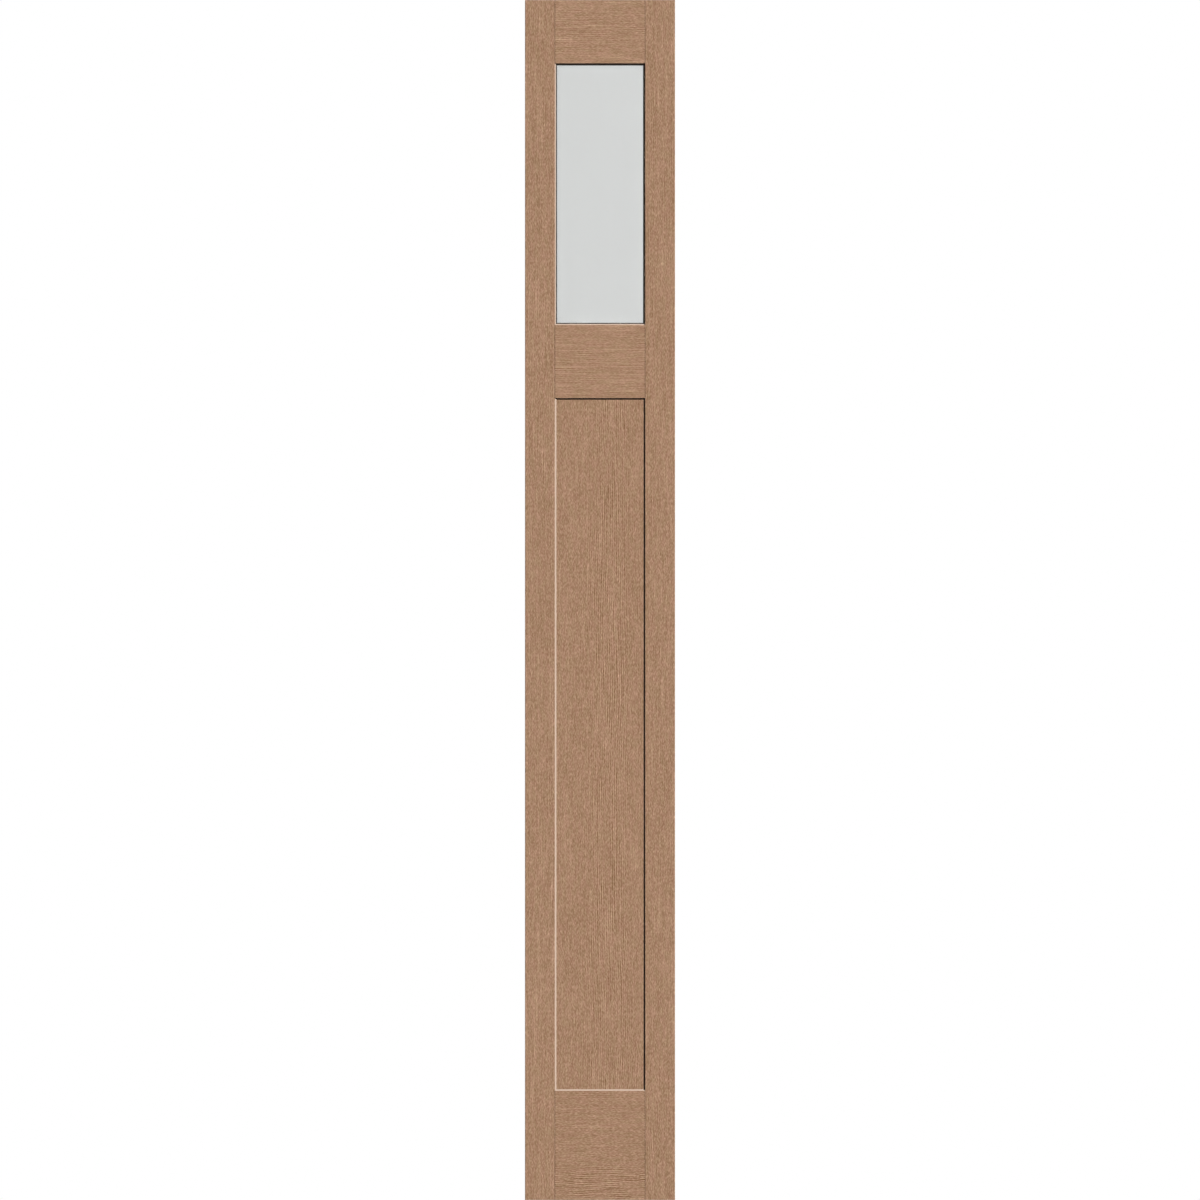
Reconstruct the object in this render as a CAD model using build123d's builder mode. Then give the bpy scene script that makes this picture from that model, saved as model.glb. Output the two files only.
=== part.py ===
"""Fixed entrance sidelight, a tall narrow stile and rail slab with one glazed light over one flat panel.

X runs across the slab, Y from the outside face to the room face, and Z up. The origin is the middle of the bottom
edge. Stiles and rails are engineered timber: a stave core between solid edge bands, under a face veneer on each side.
The inner bands carry the bevelled sticking, the panel groove and the glazing rabbet, and the rails are coped to the
sticking and enter the stiles' grooves with a tongue. The insulated glass lies on setting blocks between two glazing
tapes, and four mitred beads hold it from the room side.
"""

import os

from build123d import *

# Slab, in millimetres
slab_width = 304.8
slab_height = 2438.4
slab_thickness = 44.45

# Stiles and rails, measured to the inner edge of the sticking
stile_width = 63.9
top_rail_height = 132.3
mid_rail_height = 155.2
bottom_rail_height = 225.4
light_height = 524.9

# Layers of the engineered members
veneer_thickness = 1.6
outer_band_width = 12.7
inner_band_width = 20.0
arris_radius = 0.8

# Sticking, groove and joints
bevel_run = 3.5
groove_depth = 12.7
shoulder_gap = 0.35
tongue_end_gap = 0.5

# Flat panel
panel_thickness = 25.4
panel_face_gap = 0.15
panel_side_gap = 1.5
panel_head_gap = 3.0

# Insulated glass and its glazing
pane_thickness = 3.2
cavity_depth = 12.7
glazing_gap = 3.2
seal_width = 3.0
spacer_width = 6.0
spacer_wall = 0.6
key_leg_length = 22.0
key_leg_play = 0.1
tape_thickness = 1.6
tape_cover = 7.5
tape_showing = 1.0
strip_end_gap = 0.1
bead_side_play = 0.15
setting_block_length = 25.0

# Places worked out from the sizes
half_width = slab_width / 2
half_thickness = slab_thickness / 2
groove_half = panel_thickness / 2 + panel_face_gap
lip_x = half_width - stile_width
face_x = lip_x + bevel_run
groove_x = lip_x + groove_depth
veneer_y = half_thickness - veneer_thickness

bottom_rail_top = bottom_rail_height
light_top = slab_height - top_rail_height
light_bottom = light_top - light_height
mid_rail_bottom = light_bottom - mid_rail_height
light_middle = (light_top + light_bottom) / 2

outside_tape_y = -groove_half
outside_pane_y = outside_tape_y + tape_thickness
cavity_y = outside_pane_y + pane_thickness
inside_pane_y = cavity_y + cavity_depth
inside_tape_y = inside_pane_y + pane_thickness
bead_y = inside_tape_y + tape_thickness

glass_half_width = groove_x - glazing_gap
glass_half_height = light_height / 2 + groove_depth - glazing_gap
glass_bottom = light_middle - glass_half_height

PLAIN, GROOVED, GLAZED = "plain", "grooved", "glazed"

# Each rail: its lowest and highest level, and how its lower and its upper edge are worked
rails = {
    "bottom_rail": (0, bottom_rail_top, PLAIN, GROOVED),
    "mid_rail": (mid_rail_bottom, light_bottom, GROOVED, GLAZED),
    "top_rail": (light_top, slab_height, GLAZED, PLAIN),
}

os.makedirs("parts", exist_ok=True)


def save(piece, name):
    """Labels a finished piece and writes it to its own file."""
    piece.label = name
    export_step(piece, f"parts/{name}.step")


def span_rectangle(across, along, mode=Mode.ADD):
    """Rectangle in the open sketch between two limits each way."""
    with Locations((sum(across) / 2, sum(along) / 2)):
        Rectangle(across[1] - across[0], along[1] - along[0], mode=mode)


def stile_outline():
    """Plan of the right stile: eased outer corners, a bevel on each face and the groove between them."""
    with BuildLine() as edge:
        Polyline(
            (half_width, -half_thickness),
            (face_x, -half_thickness),
            (lip_x, -groove_half),
            (groove_x, -groove_half),
            (groove_x, groove_half),
            (lip_x, groove_half),
            (face_x, half_thickness),
            (half_width, half_thickness),
            close=True,
        )
        fillet(edge.vertices().group_by(Axis.X)[-1], radius=arris_radius)
    make_face(edge.edges())


def make_stile(side, mirrored):
    """One stile as five pieces: stave core, outer and inner band, and a veneer on each face.

    Beside the glazed light the groove is opened to the room side, as a rabbet for the glass and its beads.
    """
    between_veneers = (-veneer_y, veneer_y)
    inner_band_x = lip_x + inner_band_width
    outer_band_x = half_width - outer_band_width
    pieces = {
        "core": ((inner_band_x, outer_band_x), between_veneers),
        "outer_band": ((outer_band_x, half_width), between_veneers),
        "inner_band": ((lip_x, inner_band_x), between_veneers),
        "outside_veneer": ((lip_x, half_width), (-half_thickness, -veneer_y)),
        "inside_veneer": ((lip_x, half_width), (veneer_y, half_thickness)),
    }
    for piece_name, (across, through) in pieces.items():
        with BuildPart() as stile_piece:
            with BuildSketch():
                stile_outline()
                span_rectangle(across, through, mode=Mode.INTERSECT)
            extrude(amount=slab_height)
            with BuildSketch(Plane.XY.offset(light_bottom - groove_depth)):
                span_rectangle((0, groove_x), (-groove_half, slab_thickness))
            extrude(amount=light_height + 2 * groove_depth, mode=Mode.SUBTRACT)
            if mirrored:
                mirror(about=Plane.YZ, mode=Mode.REPLACE)
        save(stile_piece.part, f"{side}_stile_{piece_name}")


def rail_outline(low, high, low_edge, high_edge):
    """Section across a rail, with the bevels and the groove or rabbet that its two edges carry."""
    span_rectangle((-half_thickness, half_thickness), (low, high))
    for level, inward, work in ((low, 1, low_edge), (high, -1, high_edge)):
        if work == PLAIN:
            continue
        for face in (-1, 1):
            with BuildLine() as bevel:
                Polyline(
                    (face * half_thickness, level),
                    (face * half_thickness, level + inward * bevel_run),
                    (face * groove_half, level),
                    close=True,
                )
            make_face(bevel.edges(), mode=Mode.SUBTRACT)
        room_side = half_thickness if work == GLAZED else groove_half
        bottom = level + inward * groove_depth
        span_rectangle((-groove_half, room_side), sorted((level, bottom)), mode=Mode.SUBTRACT)


def rail_plan():
    """Plan of a rail: each end is coped to the stile's bevels and carries the tongue that fills its groove."""
    face_end = face_x - shoulder_gap
    lip_end = lip_x - shoulder_gap
    tongue_end = groove_x - tongue_end_gap
    with BuildLine() as edge:
        Polyline(
            (0, -half_thickness),
            (face_end, -half_thickness),
            (lip_end, -groove_half),
            (tongue_end, -groove_half),
            (tongue_end, groove_half),
            (lip_end, groove_half),
            (face_end, half_thickness),
            (0, half_thickness),
            close=True,
        )
    make_face(edge.edges())
    mirror(about=Plane.YZ)


def make_rail(name, low, high, low_edge, high_edge):
    """One rail as five pieces: stave core, lower and upper band, and a veneer on each face."""
    between_veneers = (-veneer_y, veneer_y)
    low_core = low + (outer_band_width if low_edge == PLAIN else inner_band_width)
    high_core = high - (outer_band_width if high_edge == PLAIN else inner_band_width)
    pieces = {
        "core": (between_veneers, (low_core, high_core)),
        "lower_band": (between_veneers, (low, low_core)),
        "upper_band": (between_veneers, (high_core, high)),
        "outside_veneer": ((-half_thickness, -veneer_y), (low, high)),
        "inside_veneer": ((veneer_y, half_thickness), (low, high)),
    }
    for piece_name, (through, up) in pieces.items():
        with BuildPart() as rail_piece:
            with BuildSketch(Plane.YZ):
                rail_outline(low, high, low_edge, high_edge)
                span_rectangle(through, up, mode=Mode.INTERSECT)
            extrude(amount=half_width, both=True)
            with BuildSketch():
                rail_plan()
            extrude(amount=slab_height, mode=Mode.INTERSECT)
        save(rail_piece.part, f"{name}_{piece_name}")


def make_panel():
    """Flat panel of a core and two veneers, standing on the bottom rail's groove and free to move at its other edges."""
    half_panel = panel_thickness / 2
    core_y = half_panel - veneer_thickness
    panel_x = groove_x - panel_side_gap
    panel_bottom = bottom_rail_top - groove_depth
    panel_top = mid_rail_bottom + groove_depth - panel_head_gap
    layers = {
        "core": (-core_y, core_y),
        "outside_veneer": (-half_panel, -core_y),
        "inside_veneer": (core_y, half_panel),
    }
    for layer_name, through in layers.items():
        with BuildPart() as layer:
            with BuildSketch(Plane.XY.offset(panel_bottom)):
                span_rectangle((-panel_x, panel_x), through)
            extrude(amount=panel_top - panel_bottom)
        save(layer.part, f"panel_{layer_name}")


def make_panes():
    """The two panes of the insulated glass, one each side of its cavity."""
    for side, pane_y in (("outside", outside_pane_y), ("inside", inside_pane_y)):
        with BuildPart() as pane:
            with BuildSketch(Plane.XY.offset(glass_bottom)):
                span_rectangle((-glass_half_width, glass_half_width), (pane_y, pane_y + pane_thickness))
            extrude(amount=2 * glass_half_height)
        save(pane.part, f"{side}_glass_pane")


def strip_frame(name, outer_half_width, outer_half_height, strip_width, from_y, depth):
    """Four straight strips round the light, as separate solids: two full-height sides and a head and foot between."""
    side_x = outer_half_width - strip_width / 2
    cross_z = outer_half_height - strip_width / 2
    cross_length = 2 * (outer_half_width - strip_width - strip_end_gap)
    with BuildPart() as strips:
        with BuildSketch(Plane.XZ.offset(-from_y)):
            with Locations((-side_x, light_middle), (side_x, light_middle)):
                Rectangle(strip_width, 2 * outer_half_height)
            with Locations((0, light_middle - cross_z), (0, light_middle + cross_z)):
                Rectangle(cross_length, strip_width)
        extrude(amount=-depth)
    save(strips.part, name)


def make_spacer():
    """Hollow metal bars that hold the panes apart, and the corner keys whose legs push into their ends."""
    outer_x = glass_half_width - seal_width
    outer_z = glass_half_height - seal_width
    block_x = outer_x - spacer_width / 2
    block_z = outer_z - spacer_width / 2
    cavity_middle = cavity_y + cavity_depth / 2
    leg_trim = 2 * (spacer_wall + key_leg_play)
    leg_width = spacer_width - leg_trim
    leg_depth = cavity_depth - leg_trim

    with BuildPart() as bars:
        for x in (-block_x, block_x):
            with BuildSketch(Plane.XY.offset(light_middle)):
                with Locations((x, cavity_middle)):
                    Rectangle(spacer_width, cavity_depth)
                    Rectangle(spacer_width - 2 * spacer_wall, cavity_depth - 2 * spacer_wall, mode=Mode.SUBTRACT)
            extrude(amount=outer_z - spacer_width, both=True)
        for z in (light_middle - block_z, light_middle + block_z):
            with BuildSketch(Plane.YZ):
                with Locations((cavity_middle, z)):
                    Rectangle(cavity_depth, spacer_width)
                    Rectangle(cavity_depth - 2 * spacer_wall, spacer_width - 2 * spacer_wall, mode=Mode.SUBTRACT)
            extrude(amount=outer_x - spacer_width, both=True)
    save(bars.part, "glass_spacer_bars")

    with BuildPart() as keys:
        for side in (-1, 1):
            for end in (-1, 1):
                corner_x = side * block_x
                corner_z = light_middle + end * block_z
                with Locations((corner_x, cavity_middle, corner_z)):
                    Box(spacer_width, cavity_depth, spacer_width)
                leg_centre = (spacer_width + key_leg_length) / 2
                with Locations((corner_x - side * leg_centre, cavity_middle, corner_z)):
                    Box(key_leg_length, leg_depth, leg_width)
                with Locations((corner_x, cavity_middle, corner_z - end * leg_centre)):
                    Box(leg_width, leg_depth, key_leg_length)
    save(keys.part, "glass_spacer_corner_keys")


def make_setting_blocks():
    """Two blocks on the mid rail's rabbet, at the quarter points, that carry the insulated glass."""
    unit_depth = 2 * pane_thickness + cavity_depth
    with BuildPart() as blocks:
        with Locations((0, outside_pane_y + unit_depth / 2, glass_bottom - glazing_gap / 2)):
            with GridLocations(glass_half_width, 1, 2, 1):
                Box(setting_block_length, unit_depth, glazing_gap)
    save(blocks.part, "glass_setting_blocks")


def make_beads():
    """Four mitred glazing beads flush with the room face, bevelled on the sight edge as the sticking is."""
    inner_x = lip_x
    outer_x = groove_x - bead_side_play
    inner_z = light_height / 2
    outer_z = inner_z + groove_depth - bead_side_play
    bevel_depth = half_thickness - groove_half
    outlines = {
        "right_glazing_bead": ((outer_x, -outer_z), (outer_x, outer_z), (inner_x, inner_z), (inner_x, -inner_z)),
        "left_glazing_bead": ((-outer_x, -outer_z), (-outer_x, outer_z), (-inner_x, inner_z), (-inner_x, -inner_z)),
        "top_glazing_bead": ((-outer_x, outer_z), (outer_x, outer_z), (inner_x, inner_z), (-inner_x, inner_z)),
        "bottom_glazing_bead": ((-outer_x, -outer_z), (outer_x, -outer_z), (inner_x, -inner_z), (-inner_x, -inner_z)),
    }
    for name, corners in outlines.items():
        with BuildPart() as bead:
            with BuildSketch(Plane.XZ.offset(-bead_y)):
                with BuildLine():
                    Polyline(*[(x, light_middle + z) for x, z in corners], close=True)
                make_face()
            extrude(amount=-(half_thickness - bead_y))
            room_face = bead.faces().sort_by(Axis.Y)[-1]
            sight_edge = room_face.edges().sort_by_distance((0, half_thickness, light_middle))[0]
            chamfer(sight_edge, length=bevel_run, length2=bevel_depth, reference=room_face)
        save(bead.part, name)


make_stile("left", mirrored=True)
make_stile("right", mirrored=False)
for rail_name, rail_facts in rails.items():
    make_rail(rail_name, *rail_facts)
make_panel()
make_panes()
make_spacer()
strip_frame("glass_edge_seal", glass_half_width, glass_half_height, seal_width, cavity_y, cavity_depth)
for tape_side, tape_y in (("outside", outside_tape_y), ("inside", inside_tape_y)):
    strip_frame(
        f"{tape_side}_glazing_tape",
        lip_x + tape_cover,
        light_height / 2 + tape_cover,
        tape_cover + tape_showing,
        tape_y,
        tape_thickness,
    )
make_setting_blocks()
make_beads()
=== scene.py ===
import math
from typing import NamedTuple

import bpy
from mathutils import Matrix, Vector


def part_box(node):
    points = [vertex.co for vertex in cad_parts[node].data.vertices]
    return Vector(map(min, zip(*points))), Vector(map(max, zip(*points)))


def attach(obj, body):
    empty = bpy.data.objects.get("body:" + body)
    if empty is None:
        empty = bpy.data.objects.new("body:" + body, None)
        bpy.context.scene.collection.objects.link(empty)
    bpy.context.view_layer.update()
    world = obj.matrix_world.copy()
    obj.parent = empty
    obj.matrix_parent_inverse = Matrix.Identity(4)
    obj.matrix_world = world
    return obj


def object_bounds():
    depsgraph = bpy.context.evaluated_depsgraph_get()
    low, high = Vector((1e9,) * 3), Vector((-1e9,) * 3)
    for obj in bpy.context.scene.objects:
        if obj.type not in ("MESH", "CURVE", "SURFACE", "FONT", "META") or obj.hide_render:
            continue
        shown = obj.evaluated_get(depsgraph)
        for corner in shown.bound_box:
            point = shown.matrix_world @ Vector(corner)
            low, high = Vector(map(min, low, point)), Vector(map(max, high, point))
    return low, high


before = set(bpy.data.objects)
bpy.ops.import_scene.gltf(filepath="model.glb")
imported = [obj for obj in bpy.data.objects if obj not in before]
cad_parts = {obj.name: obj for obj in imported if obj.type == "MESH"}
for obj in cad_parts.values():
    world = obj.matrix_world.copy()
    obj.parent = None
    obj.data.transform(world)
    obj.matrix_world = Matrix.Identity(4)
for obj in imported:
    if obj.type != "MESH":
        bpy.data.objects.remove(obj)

bl_info = {
    "name": "Entrance sidelight",
    "version": (1, 0, 0),
    "blender": (4, 5, 0),
    "location": "View3D > Sidebar > Sidelight",
    "description": "Dresses the sidelight's timber, glass and glazing beads, and sets up a plain studio",
    "category": "Object",
}

BODY = "root"
MILLIMETRE = 0.001
SLAB_LOW, SLAB_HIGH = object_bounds()
SLAB_HEIGHT = SLAB_HIGH.z - SLAB_LOW.z

STILES = ("left_stile", "right_stile")
RAILS = ("top_rail", "mid_rail", "bottom_rail")

# Where the rails' shoulders end, and how far beyond that a stile's bevel still lies in the open joint
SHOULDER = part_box("mid_rail_outside_veneer")[1].x
JOINT = 0.35 * MILLIMETRE

# The edges of the glass in sight, and how far the outside tape's face lies from the slab's middle
LIGHT_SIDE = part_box("right_glazing_bead")[0].x
LIGHT_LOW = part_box("bottom_glazing_bead")[1].z
LIGHT_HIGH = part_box("top_glazing_bead")[0].z
TAPE_FACE = -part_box("outside_glazing_tape")[0].y


class Board(NamedTuple):
    """How a board was sawn and how its grain shows.

    Upright boards have their grain along Z, and the others along X. The heart is where the tree's middle
    lies, across the board and behind its face. The stretch picks another length of timber for each board.
    The even lines crowd within a reach of one place across the board, and waver so far to either side.
    Lines, ticks and comb say how strongly the long grain lines, the short ticks and the even lines show.
    The tone lightens the whole board.
    """

    upright: bool
    heart: tuple
    stretch: float
    crowd: tuple
    lines: float = 0.7
    ticks: float = 0.8
    comb: float = 0.2
    tone: float = 0.0
    waver: float = 2 * MILLIMETRE


BOARDS = {
    "left_stile": Board(
        upright=True, heart=(-0.36, 0.16), stretch=3.1, crowd=(-0.12, 0.04), lines=0.5, ticks=0.66
    ),
    "right_stile": Board(
        upright=True, heart=(0.41, 0.12), stretch=11.7, crowd=(0.12, 0.04), lines=0.5, ticks=0.66
    ),
    "panel": Board(
        upright=True, heart=(0.018, 0.055), stretch=23.9, crowd=(0.018, 0.07),
        lines=0.36, ticks=0.65, comb=1.15,
    ),
    "top_rail": Board(
        upright=False, heart=(2.62, 0.09), stretch=31.3, crowd=(2.37, 0.05),
        lines=0.62, ticks=0.56, comb=0.5, tone=0.05,
    ),
    "mid_rail": Board(
        upright=False, heart=(1.52, 0.12), stretch=43.1, crowd=(1.7, 0.07),
        lines=0.52, ticks=0.46, comb=0.8, tone=0.035,
    ),
    "bottom_rail": Board(
        upright=False, heart=(0.02, 0.07), stretch=57.7, crowd=(0.03, 0.055),
        lines=0.37, ticks=0.63, comb=2.0, tone=-0.005, waver=12 * MILLIMETRE,
    ),
    "left_glazing_bead": Board(upright=True, heart=(-0.3, 0.2), stretch=61.9, crowd=(-0.1, 0.01)),
    "right_glazing_bead": Board(upright=True, heart=(0.3, 0.2), stretch=67.3, crowd=(0.1, 0.01)),
    "top_glazing_bead": Board(upright=False, heart=(2.6, 0.2), stretch=71.1, crowd=(2.31, 0.01)),
    "bottom_glazing_bead": Board(upright=False, heart=(1.4, 0.2), stretch=79.7, crowd=(1.77, 0.01)),
}

# How much farther along its timber a board's room-side veneer and its bands lie
ROOM_STRETCH = 5.3
BAND_STRETCH = 2.6


class Layer(NamedTuple):
    """A layer of noise: its features a metre across and along the grain, and where its marks show."""

    across: float
    along: float
    detail: float
    roughness: float = 0.5
    marks: tuple = (0.0, 1.0)


# The layers of the timber's grain, from the longest sway down to the pores
SWAY = Layer(3.0, 1.6, 1.0)
WAVER = Layer(11.0, 11.0, 1.0)
RIPPLE = Layer(22.0, 6.5, 2.0)
MOTTLE = Layer(24.0, 11.0, 2.0)
CLUMPS = Layer(45.0, 9.0, 1.0, marks=(0.4, 0.6))
DRIFT = Layer(90.0, 32.0, 2.0, roughness=0.7, marks=(0.32, 0.68))
BREAKS = Layer(240.0, 20.0, 0.0, marks=(0.3, 0.7))
RAYS = Layer(430.0, 9.0, 0.0, marks=(0.62, 0.76))
STREAKS = Layer(820.0, 20.0, 1.0)
TICKS = Layer(900.0, 185.0, 1.0)
PORES = Layer(2300.0, 130.0, 1.0, marks=(0.56, 0.68))

# The layers of the other finishes
STAVE_BEND = Layer(10.0, 1.0, 1.0)
STAVE_FIBRE = Layer(900.0, 25.0, 2.0)
SMEAR = Layer(3.0, 5.0, 3.0)
CLOUD = Layer(60.0, 60.0, 3.0)
FROST = Layer(3500.0, 3500.0, 1.0)
DRAWN_LINES = Layer(2600.0, 12.0, 2.0)
FLOOR_SPECKLE = Layer(40.0, 40.0, 3.0)

# Where in a year's ring the dark part comes on and ends, in the timber and in the staves' softwood
TIMBER_RING = ((0.25, 0.9), (0.93, 1.0))
STAVE_RING = ((0.4, 0.95), (0.96, 1.0))
STAVE_RING_GAP = 3.2 * MILLIMETRE

# The fillers, foams and mouldings: a pale tone, a dark tone and the grains a metre in the skin of each
FILLERS = {
    "key_plastic": ((0.13, 0.13, 0.13), (0.08, 0.08, 0.08), 900.0),
    "edge_sealant": ((0.045, 0.045, 0.045), (0.025, 0.025, 0.025), 260.0),
    "tape_foam": ((0.042, 0.036, 0.032), (0.026, 0.022, 0.019), 1400.0),
    "block_rubber": ((0.04, 0.04, 0.04), (0.022, 0.022, 0.022), 500.0),
    "brad_filling": ((0.47, 0.31, 0.21), (0.34, 0.21, 0.13), 2600.0),
}
FILLER_DETAIL = 3.0

# The spacer's drawn lines, and the panes
DRAWN_DARK = (0.52, 0.53, 0.54)
DRAWN_PALE = (0.66, 0.67, 0.68)
GLASS_IOR = 1.5

# The floor: its gap below the slab, where it begins to fade, and its tone for light on its way
WHITE = (1.0, 1.0, 1.0)
FLOOR_GAP = 0.2 * MILLIMETRE
FADE_START = 1.0
FLOOR_ON_THE_WAY = (0.12, 0.12, 0.12)

# Where the lamps stand, how far off the camera is, and by how much its frame is lower than the slab
KEY_FROM = (0.65, -0.45, 0.61)
REAR_FROM = (-0.58, 0.68, 0.45)
CAMERA_DISTANCE = 6.0
FRAME_TRIM = 0.6 * MILLIMETRE


class Signal:
    """A socket in a node tree. An expression on signals adds the Math nodes that work it out."""

    def __init__(self, nodes, socket):
        self.nodes = nodes
        self.socket = socket

    def math(self, operation, *values):
        return self.nodes.node("ShaderNodeMath", {"operation": operation}, dict(enumerate(values)))

    def __add__(self, other):
        return self.math("ADD", self, other)

    __radd__ = __add__

    def __sub__(self, other):
        return self.math("SUBTRACT", self, other)

    def __rsub__(self, other):
        return self.math("SUBTRACT", other, self)

    def __mul__(self, other):
        return self.math("MULTIPLY", self, other)

    __rmul__ = __mul__

    def __truediv__(self, other):
        return self.math("DIVIDE", self, other)

    def fraction(self):
        return self.math("FRACT", self)

    def floor(self):
        return self.math("FLOOR", self)

    def size(self):
        return self.math("ABSOLUTE", self)

    def root(self):
        return self.math("SQRT", self)

    def larger(self, other):
        return self.math("MAXIMUM", self, other)

    def between(self, low, high):
        """0 below low, 1 above high, and a smooth rise from one to the other."""
        return self.nodes.node(
            "ShaderNodeMapRange",
            {"interpolation_type": "SMOOTHSTEP"},
            {"Value": self, "From Min": low, "From Max": high},
        )


class Nodes:
    """A node tree that is built one node at a time."""

    def __init__(self, tree):
        self.tree = tree
        self.tree.nodes.clear()

    def node(self, kind, settings=None, sockets=None, output=0):
        """Adds a node of any kind, sets it, feeds it values or signals, and gives one of its outputs."""
        made = self.tree.nodes.new(kind)
        for name, value in (settings or {}).items():
            setattr(made, name, value)
        for key, value in (sockets or {}).items():
            socket = made.inputs[key] if isinstance(key, int) else self.find(made.inputs, key)
            if isinstance(value, Signal):
                self.tree.links.new(value.socket, socket)
            else:
                socket.default_value = value
        if not made.outputs:
            return None
        found = made.outputs[output] if isinstance(output, int) else self.find(made.outputs, output)
        return Signal(self, found)

    @staticmethod
    def find(sockets, name):
        """The socket of that name that the node's settings leave in use."""
        return next(socket for socket in sockets if socket.name == name and socket.enabled)

    def looked_at(self):
        """1 for what the camera sees straight, mirrored or through glass, and 0 for light on its way."""
        rays = ("Is Camera Ray", "Is Glossy Ray", "Is Transmission Ray")
        straight, mirrored, through = (self.node("ShaderNodeLightPath", output=ray) for ray in rays)
        first_bounce = (0.4, 0.6)
        scattered = self.node("ShaderNodeLightPath", output="Diffuse Depth").between(*first_bounce)
        return straight.larger(mirrored).larger(through) * (1 - scattered)


class Finish(Nodes):
    """One material and the nodes that make it."""

    def __init__(self, name):
        self.material = bpy.data.materials.new(name)
        self.material.use_nodes = True
        super().__init__(self.material.node_tree)

    def place(self):
        return self.node("ShaderNodeTexCoord", output="Object")

    def parts(self, vector):
        """The three numbers of a vector."""
        return [self.node("ShaderNodeSeparateXYZ", None, {"Vector": vector}, output=axis) for axis in "XYZ"]

    def noise(self, vector, layer):
        """A layer of noise, from 0 to 1."""
        scale = (layer.across, layer.across, layer.along)
        stretched = self.node("ShaderNodeVectorMath", {"operation": "MULTIPLY"}, {0: vector, 1: scale})
        return self.node(
            "ShaderNodeTexNoise",
            {"noise_dimensions": "3D"},
            {"Vector": stretched, "Scale": 1.0, "Detail": layer.detail, "Roughness": layer.roughness},
        )

    def swing(self, vector, layer):
        """A layer of noise about zero, by up to a half to either side."""
        return self.noise(vector, layer) - 0.5

    def mix(self, factor, first, second, blend="MIX", clamp=True):
        """Colour between the first and the second, and beyond them where the factor isn't clamped."""
        return self.node(
            "ShaderNodeMix",
            {"data_type": "RGBA", "blend_type": blend, "clamp_factor": clamp},
            {"Factor": factor, "A": first, "B": second},
            output="Result",
        )

    def bump(self, height):
        """Normal of a relief whose height is in metres."""
        return self.node("ShaderNodeBump", None, {"Height": height, "Distance": 1.0, "Strength": 1.0})

    def surface(self, sockets):
        """Ends the tree with the main shader."""
        shader = self.node("ShaderNodeBsdfPrincipled", None, sockets)
        self.node("ShaderNodeOutputMaterial", None, {"Surface": shader})
        return self.material


def opaque(colour):
    return (*colour, 1.0)


def latewood_rings(radius, gap, shape):
    """1 in the dark part of each year's ring, and 0 in the pale part."""
    rise, end = shape
    season = (radius / gap).fraction()
    return season.between(*rise) - season.between(*end)


def dress(node, material):
    """Gives a CAD node its finish through its material slots."""
    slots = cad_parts[node].data.materials
    slots.clear()
    slots.append(material)


def bevels(finish):
    """1 on the bevels round the glass and the panel, where a paler tone is painted as a highlight, and 0 on
    the faces and on the slab's own edges.
    """
    x, y, z = finish.parts(finish.place())
    skin, cut = 0.1 * MILLIMETRE, 0.5 * MILLIMETRE
    below_face = (SLAB_HIGH.y - y.size()).between(skin, cut)
    past_bevels = x.size().between(SHOULDER + JOINT, SHOULDER + 2 * JOINT)
    rim = 3 * MILLIMETRE
    near_foot = 1 - z.between(SLAB_LOW.z + rim, SLAB_LOW.z + 2 * rim)
    near_head = z.between(SLAB_HIGH.z - 2 * rim, SLAB_HIGH.z - rim)
    return below_face - past_bevels.larger(near_foot).larger(near_head)


def joints(finish, arris_shade):
    """1 in the open joints between rails and stiles, where a shadow is painted, and less on the rails' eased
    arrises beside them, where shade is painted.
    """
    x, _, z = finish.parts(finish.place())
    beside_rails = 0
    for rail in RAILS:
        low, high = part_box(f"{rail}_outside_veneer")
        above_foot = z.between(low.z - MILLIMETRE, low.z)
        beside_rails = beside_rails + above_foot - z.between(high.z, high.z + MILLIMETRE)
    ease, arris = 0.1 * MILLIMETRE, 1.6 * MILLIMETRE
    shade = x.size().between(SHOULDER - arris - ease, SHOULDER - arris) * arris_shade
    gap = x.size().between(SHOULDER - ease, SHOULDER) * (1 - arris_shade)
    beyond = x.size().between(SHOULDER + JOINT, SHOULDER + JOINT + ease)
    return beside_rails * (shade + gap - beyond)


def sealant(finish):
    """1 on the thin line of sealant along the foot of the bevels round the light."""
    x, y, z = finish.parts(finish.place())
    depth = SLAB_HIGH.y - TAPE_FACE
    line, blur = 2.6 * MILLIMETRE, 0.3 * MILLIMETRE
    deep = (SLAB_HIGH.y - y.size()).between(depth - line - blur, depth - line)
    margin = 5 * MILLIMETRE
    low, high = LIGHT_LOW - margin, LIGHT_HIGH + margin
    beside_light = z.between(low - MILLIMETRE, low) - z.between(high, high + MILLIMETRE)
    beyond = SHOULDER + JOINT + MILLIMETRE
    return deep * beside_light * (1 - x.size().between(beyond, beyond + MILLIMETRE))


def cut_ends(finish):
    """1 where end grain and cores show at the slab's foot and head."""
    _, _, z = finish.parts(finish.place())
    near, far = 0.05 * MILLIMETRE, 0.3 * MILLIMETRE
    head = z.between(SLAB_HIGH.z - far, SLAB_HIGH.z - near)
    return head + 1 - z.between(SLAB_LOW.z + near, SLAB_LOW.z + far)


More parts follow.
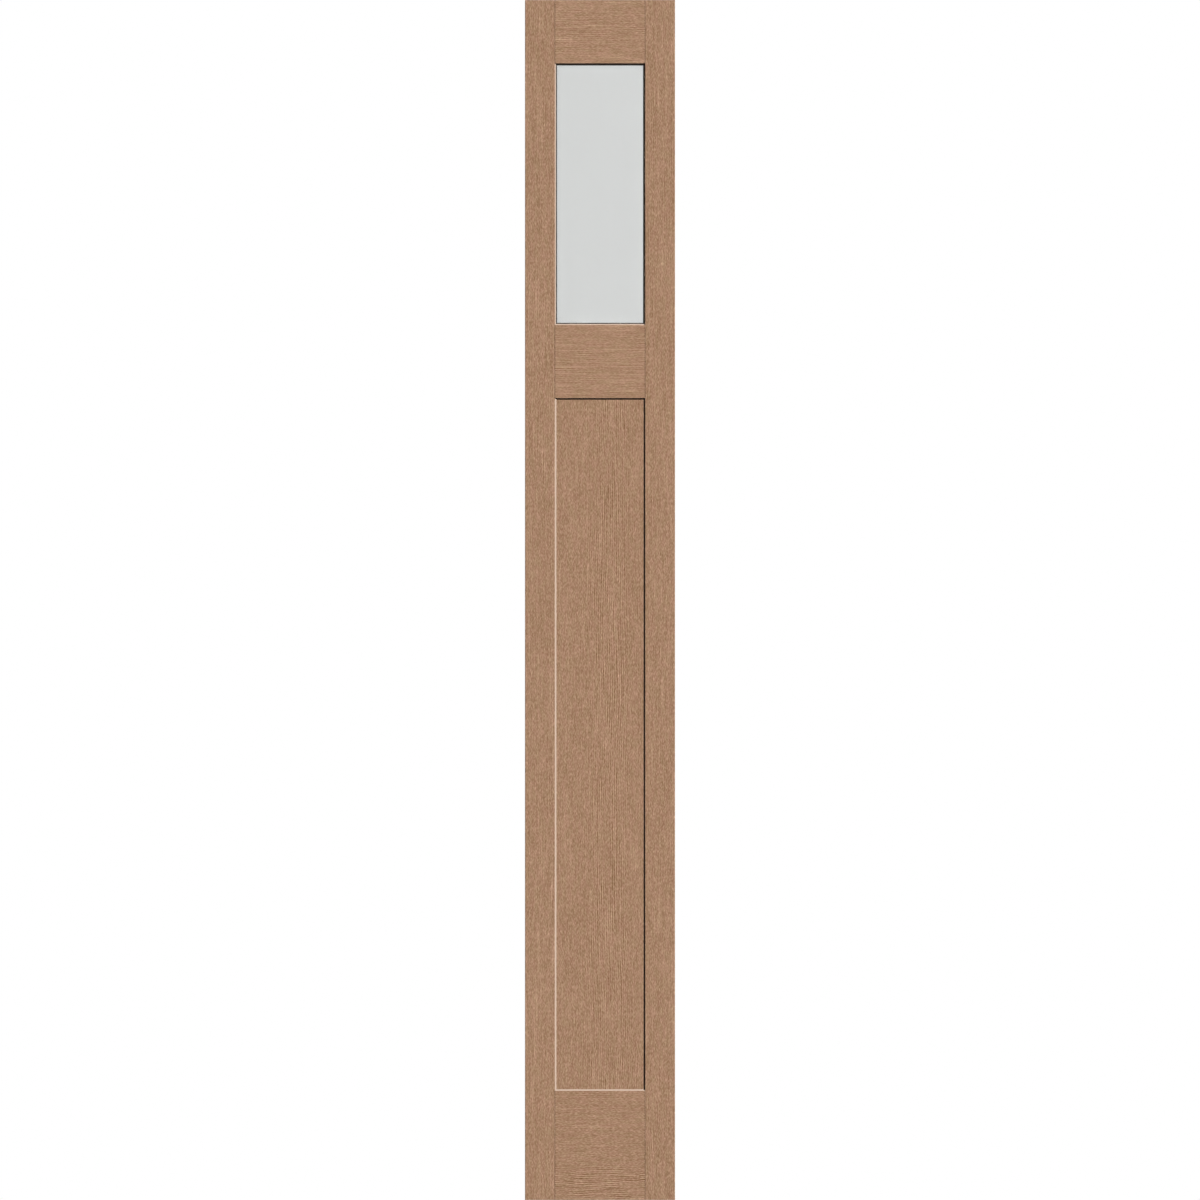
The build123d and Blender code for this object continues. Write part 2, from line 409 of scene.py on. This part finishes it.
def even_lines(finish, board, gap, grain, wandering, fibre):
    """Close even lines about zero, broken here and there, which crowd at one place across the board."""
    full_within, lift, elsewhere = 0.2, 0.12, 0.2
    middle, reach = board.crowd
    across = finish.parts(grain)[0]
    crowd = 1 - (across - middle).size().between(full_within * reach, reach)
    patches = (finish.noise(grain, CLUMPS) + crowd * lift).between(*CLUMPS.marks) * (elsewhere + crowd)
    breaks = finish.noise(fibre, BREAKS).between(*BREAKS.marks)
    waving = wandering + finish.swing(grain, WAVER) * board.waver
    tooth, mean = (0.22, 0.5), 0.28
    comb = ((waving / gap).fraction() - 0.5).size().between(*tooth) - mean
    return comb * patches * breaks


def timber(name, board, tones, stretch=0.0):
    """Open-grained timber as a solid pattern of growth rings, long streaks, short ticks and pores."""
    finish = Finish(name)
    turn = (0.0, 0.0, 0.0) if board.upright else (0.0, math.pi / 2, 0.0)
    sink = 0.8 * MILLIMETRE
    shift = (0.0, sink, board.stretch + stretch)
    grain = finish.node(
        "ShaderNodeMapping",
        {"vector_type": "POINT"},
        {"Vector": finish.place(), "Location": shift, "Rotation": turn},
    )
    across, through, along = finish.parts(grain)
    sway = finish.swing(grain, SWAY) * tones.sway
    ripple = finish.swing(grain, RIPPLE) * tones.ripple
    wandering = across + sway + ripple
    fibre = finish.node("ShaderNodeCombineXYZ", None, {"X": wandering, "Y": through, "Z": along})

    heart_across, heart_depth = board.heart
    sideways = wandering - heart_across
    deep = through - heart_depth
    radius = (sideways * sideways + deep * deep).root() + along * tones.taper
    latewood = latewood_rings(radius, tones.ring_gap, TIMBER_RING)

    streaks = finish.swing(fibre, STREAKS)
    ticks = finish.swing(fibre, TICKS)
    beside_ticks = 0.35
    pores = (finish.noise(fibre, PORES) - ticks * beside_ticks).between(*PORES.marks)
    rays = finish.noise(fibre, RAYS).between(*RAYS.marks)
    comb = even_lines(finish, board, tones.comb_gap, grain, wandering, fibre)
    middle_shade = 0.448
    shade = (
        streaks * (tones.streak_contrast * board.lines)
        + rays * (tones.ray_contrast * board.lines)
        + ticks * (ticks * tones.flecks + 1.0) * (tones.tick_contrast * board.ticks)
        + comb * (tones.comb_contrast * board.comb)
        + (latewood - 0.5) * (tones.ring_contrast * board.lines)
        - pores * tones.pore_contrast
        + finish.swing(grain, MOTTLE) * tones.mottle_contrast
        + (middle_shade + board.tone)
    )
    body = finish.mix(shade, opaque(tones.dark_tone), opaque(tones.pale_tone), clamp=False)
    drift = finish.noise(grain, DRIFT).between(*DRIFT.marks)
    colour = finish.mix(drift * tones.tint_amount, body, opaque(tones.tint), blend="MULTIPLY")
    if not name.startswith("panel"):
        # Painted highlight: the bevels take a paler tone, as though every bevel caught the light.
        colour = finish.mix(bevels(finish) * tones.bevel_highlight_amount, colour, opaque(tones.bevel_highlight_tone))
        colour = finish.mix(sealant(finish), colour, opaque(tones.sealant_tone))
    if name.startswith(STILES + RAILS):
        # Painted shadow in the open joints, and painted shade on the rails' arrises beside them.
        colour = finish.mix(joints(finish, tones.arris_shade), colour, opaque(tones.joint_shadow_tone))
    if name.startswith(STILES):
        colour = finish.mix(cut_ends(finish) * tones.end_amount, colour, opaque(tones.dark_tone))
    tick_share, streak_share = 0.6, 0.5
    relief = (ticks * tick_share + streaks * streak_share) * tones.stroke_depth - pores * tones.pore_depth
    planed, rougher_pores, smoother_latewood = 0.62, 0.14, 0.05
    bare_gloss = 0.01
    return finish.surface(
        {
            "Base Color": colour,
            "Roughness": planed + pores * rougher_pores - latewood * smoother_latewood,
            "Specular IOR Level": bare_gloss,
            "Normal": finish.bump(relief),
        }
    )


def stave_core(name, tones):
    """Softwood staves glued side by side, each with its own tone and rings, seen where the core shows."""
    finish = Finish(name)
    place = finish.place()
    x, y, z = finish.parts(place)
    columns = x / tones.stave_width
    rows = y / tones.stave_thickness
    lengths = z / tones.stave_length
    block = finish.node(
        "ShaderNodeCombineXYZ", None, {"X": columns.floor(), "Y": rows.floor(), "Z": lengths.floor()}
    )
    tone = finish.node(
        "ShaderNodeTexWhiteNoise", {"noise_dimensions": "3D"}, {"Vector": block}, output="Value"
    )
    glue_edge = (0.485, 0.497)
    beside_column = (columns.fraction() - 0.5).size().between(*glue_edge)
    beside_row = (rows.fraction() - 0.5).size().between(*glue_edge)
    glue = beside_column.larger(beside_row)

    heart_across, heart_depth, bend = 0.3, 0.08, 0.02
    sideways = x + tone * heart_across
    deep = y + tone * heart_depth
    radius = (sideways * sideways + deep * deep).root() + finish.noise(place, STAVE_BEND) * bend
    latewood = latewood_rings(radius, STAVE_RING_GAP, STAVE_RING)
    fibre = finish.swing(place, STAVE_FIBRE)
    stave_share, ring_share, fibre_share, least = 0.35, 0.45, 0.5, 0.05
    shade = tone * stave_share + (1 - latewood) * ring_share + fibre * fibre_share + least
    wood = finish.mix(shade, opaque(tones.stave_dark), opaque(tones.stave_pale))
    glued = finish.mix(glue, wood, opaque(tones.glue_tone))
    fibre_depth, glue_depth = 0.06 * MILLIMETRE, 0.08 * MILLIMETRE
    sawn, fibre_roughness, sawn_gloss = 0.7, 0.15, 0.3
    return finish.surface(
        {
            "Base Color": finish.mix(cut_ends(finish) * tones.end_amount, glued, opaque(tones.stave_dark)),
            "Roughness": sawn + fibre * fibre_roughness,
            "Specular IOR Level": sawn_gloss,
            "Normal": finish.bump(fibre * fibre_depth - glue * glue_depth),
        }
    )


def grained_filler(name):
    """A matt filler, foam or moulding with a fine uneven skin."""
    pale, dark, grit = FILLERS[name]
    finish = Finish(name)
    skin = finish.noise(finish.place(), Layer(grit, grit, FILLER_DETAIL))
    matt, patchy, grain_height = 0.62, 0.2, 0.08 * MILLIMETRE
    return finish.surface(
        {
            "Base Color": finish.mix(skin, opaque(dark), opaque(pale)),
            "Roughness": matt + (skin - 0.5) * patchy,
            "Normal": finish.bump(skin * grain_height),
        }
    )


def clear_glass(glass):
    """The clear outside pane, with a faint smear."""
    finish = Finish("clear_glass")
    smeared = 0.02
    return finish.surface(
        {
            "Base Color": opaque(glass.clear_tint),
            "Roughness": finish.noise(finish.place(), SMEAR) * smeared,
            "IOR": GLASS_IOR,
            "Transmission Weight": 1.0,
        }
    )


def satin_glass(glass):
    """The obscure inside pane, finely frosted, with light painted as a paler tint beside the edge of the
    light, where the frame shades it.
    """
    finish = Finish("satin_glass")
    cloud = finish.swing(finish.place(), CLOUD)
    frost = finish.swing(finish.place(), FROST)
    cloudy, frost_depth = 0.06, 0.01 * MILLIMETRE
    x, _, z = finish.parts(finish.place())
    half_height = (LIGHT_HIGH - LIGHT_LOW) / 2
    fade = 25 * MILLIMETRE
    aside = x.size().between(LIGHT_SIDE - fade, LIGHT_SIDE)
    above = (z - (LIGHT_LOW + half_height)).size().between(half_height - fade, half_height)
    return finish.surface(
        {
            # Painted light: the pane turns paler towards the edge of the light, offsetting the frame's shade
            # there.
            "Base Color": finish.mix(aside.larger(above), opaque(glass.satin_tint), opaque(glass.rim_light_tint)),
            "Roughness": glass.satin_roughness + cloud * cloudy,
            "IOR": GLASS_IOR,
            "Transmission Weight": 1.0,
            "Normal": finish.bump(frost * frost_depth),
        }
    )


def spacer_aluminium():
    """Drawn aluminium with fine lines along the bars."""
    finish = Finish("spacer_aluminium")
    drawn = finish.swing(finish.place(), DRAWN_LINES)
    satin, lined = 0.38, 0.15
    return finish.surface(
        {
            "Base Color": finish.mix(drawn + 0.5, opaque(DRAWN_DARK), opaque(DRAWN_PALE)),
            "Metallic": 1.0,
            "Roughness": satin + drawn * lined,
        }
    )


def pale_floor(studio):
    """A pale floor that keeps shadows and fades out to white, and stays dim for light on its way."""
    finish = Finish("pale_floor")
    place = finish.place()
    distance = finish.node("ShaderNodeVectorMath", {"operation": "LENGTH"}, {0: place}, output="Value")
    speckled = 0.01
    tone = studio.floor_tone + finish.swing(place, FLOOR_SPECKLE) * speckled
    pale = finish.node("ShaderNodeCombineColor", None, {"Red": tone, "Green": tone, "Blue": tone})
    ground = finish.node("ShaderNodeBsdfDiffuse", None, {"Color": pale})
    dim = finish.node("ShaderNodeBsdfDiffuse", None, {"Color": opaque(FLOOR_ON_THE_WAY)})
    bright = finish.node("ShaderNodeEmission", None, {"Color": opaque(WHITE), "Strength": 1.0})
    faded = distance.between(FADE_START, studio.floor_radius)
    fading = finish.node("ShaderNodeMixShader", None, {0: faded, 1: ground, 2: bright})
    surface = finish.node("ShaderNodeMixShader", None, {0: finish.looked_at(), 1: dim, 2: fading})
    finish.node("ShaderNodeOutputMaterial", None, {"Surface": surface})
    return finish.material


class TimberSettings(bpy.types.PropertyGroup):
    """Tones and grain of the timber"""

    pale_tone: bpy.props.FloatVectorProperty(
        name="Pale tone", description="Colour of the light grain", subtype="COLOR", min=0, max=1,
        default=(0.563, 0.346, 0.237),
    )
    dark_tone: bpy.props.FloatVectorProperty(
        name="Dark tone", description="Colour of the dark grain", subtype="COLOR", min=0, max=1,
        default=(0.253, 0.1305, 0.0714),
    )
    tint: bpy.props.FloatVectorProperty(
        name="Tint", description="Tint that drifts over the boards", subtype="COLOR", min=0, max=1,
        default=(0.938, 1.0, 0.928),
    )
    tint_amount: bpy.props.FloatProperty(
        name="Tint amount", description="How strongly the tint shows", subtype="FACTOR", min=0, max=1,
        default=1.0,
    )
    # The bevels' tone below is a painted highlight, paler than the faces, on every bevel.
    bevel_highlight_tone: bpy.props.FloatVectorProperty(
        name="Bevel tone", description="Colour of the freshly cut bevels", subtype="COLOR", min=0, max=1,
        default=(0.439, 0.338, 0.273),
    )
    bevel_highlight_amount: bpy.props.FloatProperty(
        name="Bevel amount", description="How far the bevels take their own tone", subtype="FACTOR",
        min=0, max=1, default=0.85,
    )
    ring_gap: bpy.props.FloatProperty(
        name="Ring gap", description="Width of one year's growth", unit="LENGTH", default=0.0042
    )
    sway: bpy.props.FloatProperty(
        name="Sway", description="How far the grain wanders over a board", unit="LENGTH", default=0.035
    )
    ripple: bpy.props.FloatProperty(
        name="Ripple", description="How far the grain wavers over a hand's width", unit="LENGTH",
        default=0.004,
    )
    taper: bpy.props.FloatProperty(
        name="Taper", description="How fast the tree narrowed, a metre of radius for each metre of length",
        default=0.012,
    )
    ring_contrast: bpy.props.FloatProperty(
        name="Ring contrast", description="Contrast of the growth rings", subtype="FACTOR", default=0.12
    )
    streak_contrast: bpy.props.FloatProperty(
        name="Streak contrast", description="Contrast of the long streaks", default=1.0
    )
    ray_contrast: bpy.props.FloatProperty(
        name="Ray contrast", description="Contrast of the few long light lines", default=0.42
    )
    comb_gap: bpy.props.FloatProperty(
        name="Comb gap", description="Distance between the close even lines", unit="LENGTH", default=0.0042
    )
    comb_contrast: bpy.props.FloatProperty(
        name="Comb contrast", description="Contrast of the close even lines", default=0.62
    )
    tick_contrast: bpy.props.FloatProperty(
        name="Tick contrast", description="Contrast of the short ticks", default=2.45
    )
    flecks: bpy.props.FloatProperty(
        name="Flecks", description="How far the light ticks stand out more than the dark ones", default=1.5
    )
    pore_contrast: bpy.props.FloatProperty(
        name="Pore contrast", description="How dark the pores are", subtype="FACTOR", default=0.12
    )
    mottle_contrast: bpy.props.FloatProperty(
        name="Mottle contrast", description="Contrast of the broad shading", default=0.2
    )
    stroke_depth: bpy.props.FloatProperty(
        name="Stroke depth", description="Relief of the open grain", unit="LENGTH", default=0.00012
    )
    pore_depth: bpy.props.FloatProperty(
        name="Pore depth", description="Depth of the pores", unit="LENGTH", default=0.00004
    )
    # The joint tone and the arris shade below are painted shadow and painted shade at the joints.
    joint_shadow_tone: bpy.props.FloatVectorProperty(
        name="Joint tone", description="Colour inside the open joints", subtype="COLOR", min=0, max=1,
        default=(0.05, 0.038, 0.03),
    )
    arris_shade: bpy.props.FloatProperty(
        name="Arris shade", description="How dark the rails' eased arrises are beside the joints",
        subtype="FACTOR", min=0, max=1, default=0.15,
    )
    sealant_tone: bpy.props.FloatVectorProperty(
        name="Sealant tone", description="Colour of the sealant line beside the glass", subtype="COLOR",
        min=0, max=1, default=(0.055, 0.046, 0.04),
    )
    end_amount: bpy.props.FloatProperty(
        name="End grain amount", description="How far the cut ends take the dark tone", subtype="FACTOR",
        min=0, max=1, default=0.5,
    )
    stave_width: bpy.props.FloatProperty(
        name="Stave width", description="Width of the core's staves", unit="LENGTH", default=0.0205
    )
    stave_thickness: bpy.props.FloatProperty(
        name="Stave thickness", description="Thickness of the core's staves", unit="LENGTH", default=0.041
    )
    stave_length: bpy.props.FloatProperty(
        name="Stave length", description="Length of the core's staves", unit="LENGTH", default=0.42
    )
    stave_pale: bpy.props.FloatVectorProperty(
        name="Stave pale tone", description="Colour of the core's early wood", subtype="COLOR", min=0, max=1,
        default=(0.50, 0.36, 0.20),
    )
    stave_dark: bpy.props.FloatVectorProperty(
        name="Stave dark tone", description="Colour of the core's late wood", subtype="COLOR", min=0, max=1,
        default=(0.24, 0.13, 0.055),
    )
    glue_tone: bpy.props.FloatVectorProperty(
        name="Glue line", description="Colour of the glue lines", subtype="COLOR", min=0, max=1,
        default=(0.12, 0.08, 0.045),
    )


class GlassSettings(bpy.types.PropertyGroup):
    """Insulated glass"""

    clear_tint: bpy.props.FloatVectorProperty(
        name="Clear tint", description="Tint of the outside pane", subtype="COLOR", min=0, max=1,
        default=(0.985, 0.995, 0.99),
    )
    satin_tint: bpy.props.FloatVectorProperty(
        name="Satin tint", description="Tint of the obscure inside pane", subtype="COLOR", min=0, max=1,
        default=(0.655, 0.660, 0.655),
    )
    # The rim tint below is painted light that lifts the frame's shade at the pane's edge.
    rim_light_tint: bpy.props.FloatVectorProperty(
        name="Rim tint", description="Tint of the obscure pane beside its edge", subtype="COLOR",
        min=0, max=1, default=(0.695, 0.702, 0.695),
    )
    satin_roughness: bpy.props.FloatProperty(
        name="Satin roughness", description="How far the obscure pane scatters light", subtype="FACTOR",
        default=0.55,
    )


class BradSettings(bpy.types.PropertyGroup):
    """Brads that pin the glazing beads"""

    head_diameter: bpy.props.FloatProperty(
        name="Head diameter", description="Diameter of a filled brad head", unit="LENGTH", default=0.0018
    )
    head_height: bpy.props.FloatProperty(
        name="Head height", description="How far the filling stands out of the bead", unit="LENGTH",
        default=0.00008,
    )
    spacing: bpy.props.FloatProperty(
        name="Spacing", description="Distance between brads", unit="LENGTH", default=0.125
    )
    end_margin: bpy.props.FloatProperty(
        name="End margin", description="Distance of the first brad from the mitre", unit="LENGTH",
        default=0.03,
    )


class StudioSettings(bpy.types.PropertyGroup):
    """Lights and floor"""

    key_strength: bpy.props.FloatProperty(
        name="Key", description="Strength of the raking key light", default=6.6
    )
    rear_strength: bpy.props.FloatProperty(
        name="Rear", description="Strength of the light from behind", default=4.0
    )
    ambient: bpy.props.FloatProperty(
        name="Ambient", description="Soft light from all round", default=0.045
    )
    floor_tone: bpy.props.FloatProperty(
        name="Floor", description="Tone of the pale floor", subtype="FACTOR", min=0, max=1, default=0.44
    )
    floor_radius: bpy.props.FloatProperty(
        name="Floor radius", description="Where the floor has faded out", unit="LENGTH", default=6.0
    )


class SIDELIGHT_OT_stiles_and_rails(bpy.types.Operator):
    """Gives each stile, rail and the panel its own sawn timber"""

    bl_idname = "sidelight.stiles_and_rails"
    bl_label = "Stiles, rails and panel"

    def execute(self, context):
        tones = context.scene.sidelight_timber
        dressed = 0
        for board_name, board in BOARDS.items():
            if board_name.endswith("bead"):
                continue
            veneer = timber(f"{board_name}_veneer", board, tones)
            room_veneer = timber(f"{board_name}_room_veneer", board, tones, stretch=ROOM_STRETCH)
            band = timber(f"{board_name}_band", board, tones, stretch=BAND_STRETCH)
            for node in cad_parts:
                if not node.startswith(board_name) or node.endswith("core"):
                    continue
                if node.endswith("outside_veneer"):
                    dress(node, veneer)
                elif node.endswith("inside_veneer"):
                    dress(node, room_veneer)
                else:
                    dress(node, band)
                dressed += 1
        if not dressed:
            raise RuntimeError("no stile, rail or panel was found in the frame")
        return {"FINISHED"}


class SIDELIGHT_OT_stave_cores(bpy.types.Operator):
    """Gives the cores of the stiles, rails and panel their glued staves"""

    bl_idname = "sidelight.stave_cores"
    bl_label = "Stave cores"

    def execute(self, context):
        cores = [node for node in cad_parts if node.endswith("core")]
        if not cores:
            raise RuntimeError("no core was found in the frame")
        staves = stave_core("glued_staves", context.scene.sidelight_timber)
        for node in cores:
            dress(node, staves)
        return {"FINISHED"}


class SIDELIGHT_OT_glazing_beads(bpy.types.Operator):
    """Gives the four glazing beads their timber"""

    bl_idname = "sidelight.glazing_beads"
    bl_label = "Glazing beads"

    def execute(self, context):
        for board_name, board in BOARDS.items():
            if board_name.endswith("bead"):
                bead_timber = timber(f"{board_name}_timber", board, context.scene.sidelight_timber)
                dress(board_name, bead_timber)
        return {"FINISHED"}


def brad_row_tree():
    """Geometry nodes that set low, filled brad heads along a line and turn them the way the bead faces."""
    tree = bpy.data.node_groups.new("brad_row", "GeometryNodeTree")
    for name, kind in (
        ("First", "NodeSocketVector"),
        ("Last", "NodeSocketVector"),
        ("Facing", "NodeSocketVector"),
        ("Count", "NodeSocketInt"),
        ("Head Radius", "NodeSocketFloat"),
        ("Head Height", "NodeSocketFloat"),
        ("Filling", "NodeSocketMaterial"),
    ):
        tree.interface.new_socket(name, in_out="INPUT", socket_type=kind)
    tree.interface.new_socket("Heads", in_out="OUTPUT", socket_type="NodeSocketGeometry")

    nodes = Nodes(tree)

    def given(name):
        return nodes.node("NodeGroupInput", output=name)

    line = nodes.node(
        "GeometryNodeMeshLine",
        {"mode": "END_POINTS"},
        {"Count": given("Count"), "Start Location": given("First"), "Offset": given("Last")},
    )
    head_sides, top_share = 14, 0.72
    head = nodes.node(
        "GeometryNodeMeshCone",
        {"fill_type": "NGON"},
        {
            "Vertices": head_sides,
            "Radius Top": given("Head Radius") * top_share,
            "Radius Bottom": given("Head Radius"),
            "Depth": given("Head Height"),
        },
    )
    turn = nodes.node("FunctionNodeAlignRotationToVector", {"axis": "Z"}, {"Vector": given("Facing")})
    placed = nodes.node(
        "GeometryNodeInstanceOnPoints", None, {"Points": line, "Instance": head, "Rotation": turn}
    )
    plain = nodes.node("GeometryNodeRealizeInstances", None, {"Geometry": placed})
    finished = nodes.node(
        "GeometryNodeSetMaterial", None, {"Geometry": plain, "Material": given("Filling")}
    )
    nodes.node("NodeGroupOutput", None, {"Heads": finished})
    return tree


def brad_rows(margin):
    """The first and last place of each bead's brads, half-way up its sight bevel, and the bevel's facing."""
    run, depth = SHOULDER + JOINT - LIGHT_SIDE, SLAB_HIGH.y - TAPE_FACE
    inward, roomward = depth / math.hypot(run, depth), run / math.hypot(run, depth)
    x, y = LIGHT_SIDE + run / 2, TAPE_FACE + depth / 2
    low, high = LIGHT_LOW + margin, LIGHT_HIGH - margin
    side = LIGHT_SIDE - margin
    head, foot = LIGHT_HIGH + run / 2, LIGHT_LOW - run / 2
    return {
        "left_glazing_bead": ((-x, y, low), (-x, y, high), (inward, roomward, 0.0)),
        "right_glazing_bead": ((x, y, low), (x, y, high), (-inward, roomward, 0.0)),
        "top_glazing_bead": ((-side, y, head), (side, y, head), (0.0, roomward, -inward)),
        "bottom_glazing_bead": ((-side, y, foot), (side, y, foot), (0.0, roomward, inward)),
    }


class SIDELIGHT_OT_bead_brads(bpy.types.Operator):
    """Pins each glazing bead with a row of brads and fills their heads"""

    bl_idname = "sidelight.bead_brads"
    bl_label = "Bead brads"

    def execute(self, context):
        brads = context.scene.sidelight_brads
        tree = brad_row_tree()
        items = tree.interface.items_tree
        inputs = {item.name: item.identifier for item in items if item.in_out == "INPUT"}
        filling = grained_filler("brad_filling")
        for bead, (first, last, facing) in brad_rows(brads.end_margin).items():
            row = bpy.data.objects.new(f"{bead}_brads", bpy.data.meshes.new(f"{bead}_brads"))
            context.scene.collection.objects.link(row)
            modifier = row.modifiers.new("brad_row", "NODES")
            modifier.node_group = tree
            length = (Vector(last) - Vector(first)).length
            modifier[inputs["First"]] = first
            modifier[inputs["Last"]] = last
            modifier[inputs["Facing"]] = facing
            modifier[inputs["Count"]] = round(length / brads.spacing) + 1
            modifier[inputs["Head Radius"]] = brads.head_diameter / 2
            modifier[inputs["Head Height"]] = brads.head_height
            modifier[inputs["Filling"]] = filling
            evaluated = row.evaluated_get(context.evaluated_depsgraph_get())
            heads = bpy.data.meshes.new_from_object(evaluated)
            if not heads.polygons:
                raise RuntimeError(f"no brads were made for {bead}")
            row.modifiers.remove(modifier)
            row.data = heads
            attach(row, BODY)
        return {"FINISHED"}


class SIDELIGHT_OT_insulated_glass(bpy.types.Operator):
    """Gives the clear and the obscure pane, the spacer, its keys and the edge seal their finishes"""

    bl_idname = "sidelight.insulated_glass"
    bl_label = "Insulated glass"

    def execute(self, context):
        glass = context.scene.sidelight_glass
        dress("outside_glass_pane", clear_glass(glass))
        dress("inside_glass_pane", satin_glass(glass))
        dress("glass_spacer_bars", spacer_aluminium())
        dress("glass_spacer_corner_keys", grained_filler("key_plastic"))
        dress("glass_edge_seal", grained_filler("edge_sealant"))
        return {"FINISHED"}


class SIDELIGHT_OT_glazing_tapes(bpy.types.Operator):
    """Gives the glazing tapes and the setting blocks their finishes"""

    bl_idname = "sidelight.glazing_tapes"
    bl_label = "Glazing tapes and setting blocks"

    def execute(self, context):
        tape = grained_filler("tape_foam")
        dress("outside_glazing_tape", tape)
        dress("inside_glazing_tape", tape)
        dress("glass_setting_blocks", grained_filler("block_rubber"))
        return {"FINISHED"}


class SIDELIGHT_OT_studio(bpy.types.Operator):
    """Sets up the floor, lights, world and camera"""

    bl_idname = "sidelight.studio"
    bl_label = "Studio"

    def execute(self, context):
        scene = context.scene
        studio = scene.sidelight_studio
        scene.view_settings.view_transform = "Standard"

        def sun(name, towards, strength, spread, shadows, bounces):
            light = bpy.data.lights.new(name, "SUN")
            light.energy = strength
            light.angle = math.radians(spread)
            light.use_shadow = shadows
            light.cycles.max_bounces = bounces
            lamp = bpy.data.objects.new(name, light)
            lamp.rotation_euler = Vector(towards).to_track_quat("Z", "Y").to_euler()
            scene.collection.objects.link(lamp)

        sun("raking_key", KEY_FROM, studio.key_strength, spread=6.0, shadows=False, bounces=0)
        sun("rear_light", REAR_FROM, studio.rear_strength, spread=20.0, shadows=True, bounces=12)

        scene.world = bpy.data.worlds.new("pale_surround")
        scene.world.use_nodes = True
        surround = Nodes(scene.world.node_tree)
        white = opaque(WHITE)
        soft = surround.node("ShaderNodeBackground", None, {"Color": white, "Strength": studio.ambient})
        plain = surround.node("ShaderNodeBackground", None, {"Color": white, "Strength": 1.0})
        blend = surround.node("ShaderNodeMixShader", None, {0: surround.looked_at(), 1: soft, 2: plain})
        surround.node("ShaderNodeOutputWorld", None, {"Surface": blend})

        reach = studio.floor_radius
        level = SLAB_LOW.z - FLOOR_GAP
        corners = ((-reach, -reach), (reach, -reach), (reach, reach), (-reach, reach))
        mesh = bpy.data.meshes.new("floor")
        mesh.from_pydata([(x, y, level) for x, y in corners], [], [(0, 1, 2, 3)])
        mesh.materials.append(pale_floor(studio))
        floor = bpy.data.objects.new("floor", mesh)
        scene.collection.objects.link(floor)

        camera_data = bpy.data.cameras.new("camera")
        camera_data.type = "ORTHO"
        camera_data.ortho_scale = SLAB_HEIGHT - FRAME_TRIM
        camera = bpy.data.objects.new("camera", camera_data)
        camera.location = (0.0, -CAMERA_DISTANCE, SLAB_HEIGHT / 2)
        camera.rotation_euler = (math.pi / 2, 0.0, 0.0)
        scene.collection.objects.link(camera)
        scene.camera = camera
        return {"FINISHED"}


class SIDELIGHT_PT_sidebar(bpy.types.Panel):
    """Sidelight pieces in the 3D view's sidebar"""

    bl_idname = "SIDELIGHT_PT_sidebar"
    bl_label = "Sidelight"
    bl_space_type = "VIEW_3D"
    bl_region_type = "UI"
    bl_category = "Sidelight"

    def draw(self, context):
        layout = self.layout
        for operator in OPERATORS:
            layout.operator(operator.bl_idname)
        for group_name, settings in SETTINGS.items():
            box = layout.box()
            box.label(text=settings.__doc__)
            for name in settings.__annotations__:
                box.prop(getattr(context.scene, group_name), name)


SETTINGS = {
    "sidelight_timber": TimberSettings,
    "sidelight_glass": GlassSettings,
    "sidelight_brads": BradSettings,
    "sidelight_studio": StudioSettings,
}
OPERATORS = (
    SIDELIGHT_OT_studio,
    SIDELIGHT_OT_stiles_and_rails,
    SIDELIGHT_OT_stave_cores,
    SIDELIGHT_OT_insulated_glass,
    SIDELIGHT_OT_glazing_tapes,
    SIDELIGHT_OT_glazing_beads,
    SIDELIGHT_OT_bead_brads,
)
CLASSES = (*SETTINGS.values(), *OPERATORS, SIDELIGHT_PT_sidebar)


def register():
    for cls in CLASSES:
        bpy.utils.register_class(cls)
    for group_name, settings in SETTINGS.items():
        setattr(bpy.types.Scene, group_name, bpy.props.PointerProperty(type=settings))


def unregister():
    for group_name in SETTINGS:
        delattr(bpy.types.Scene, group_name)
    for cls in reversed(CLASSES):
        bpy.utils.unregister_class(cls)


def main():
    register()
    for operator in OPERATORS:
        group, action = operator.bl_idname.split(".")
        getattr(getattr(bpy.ops, group), action)()


if __name__ == "__main__":
    main()
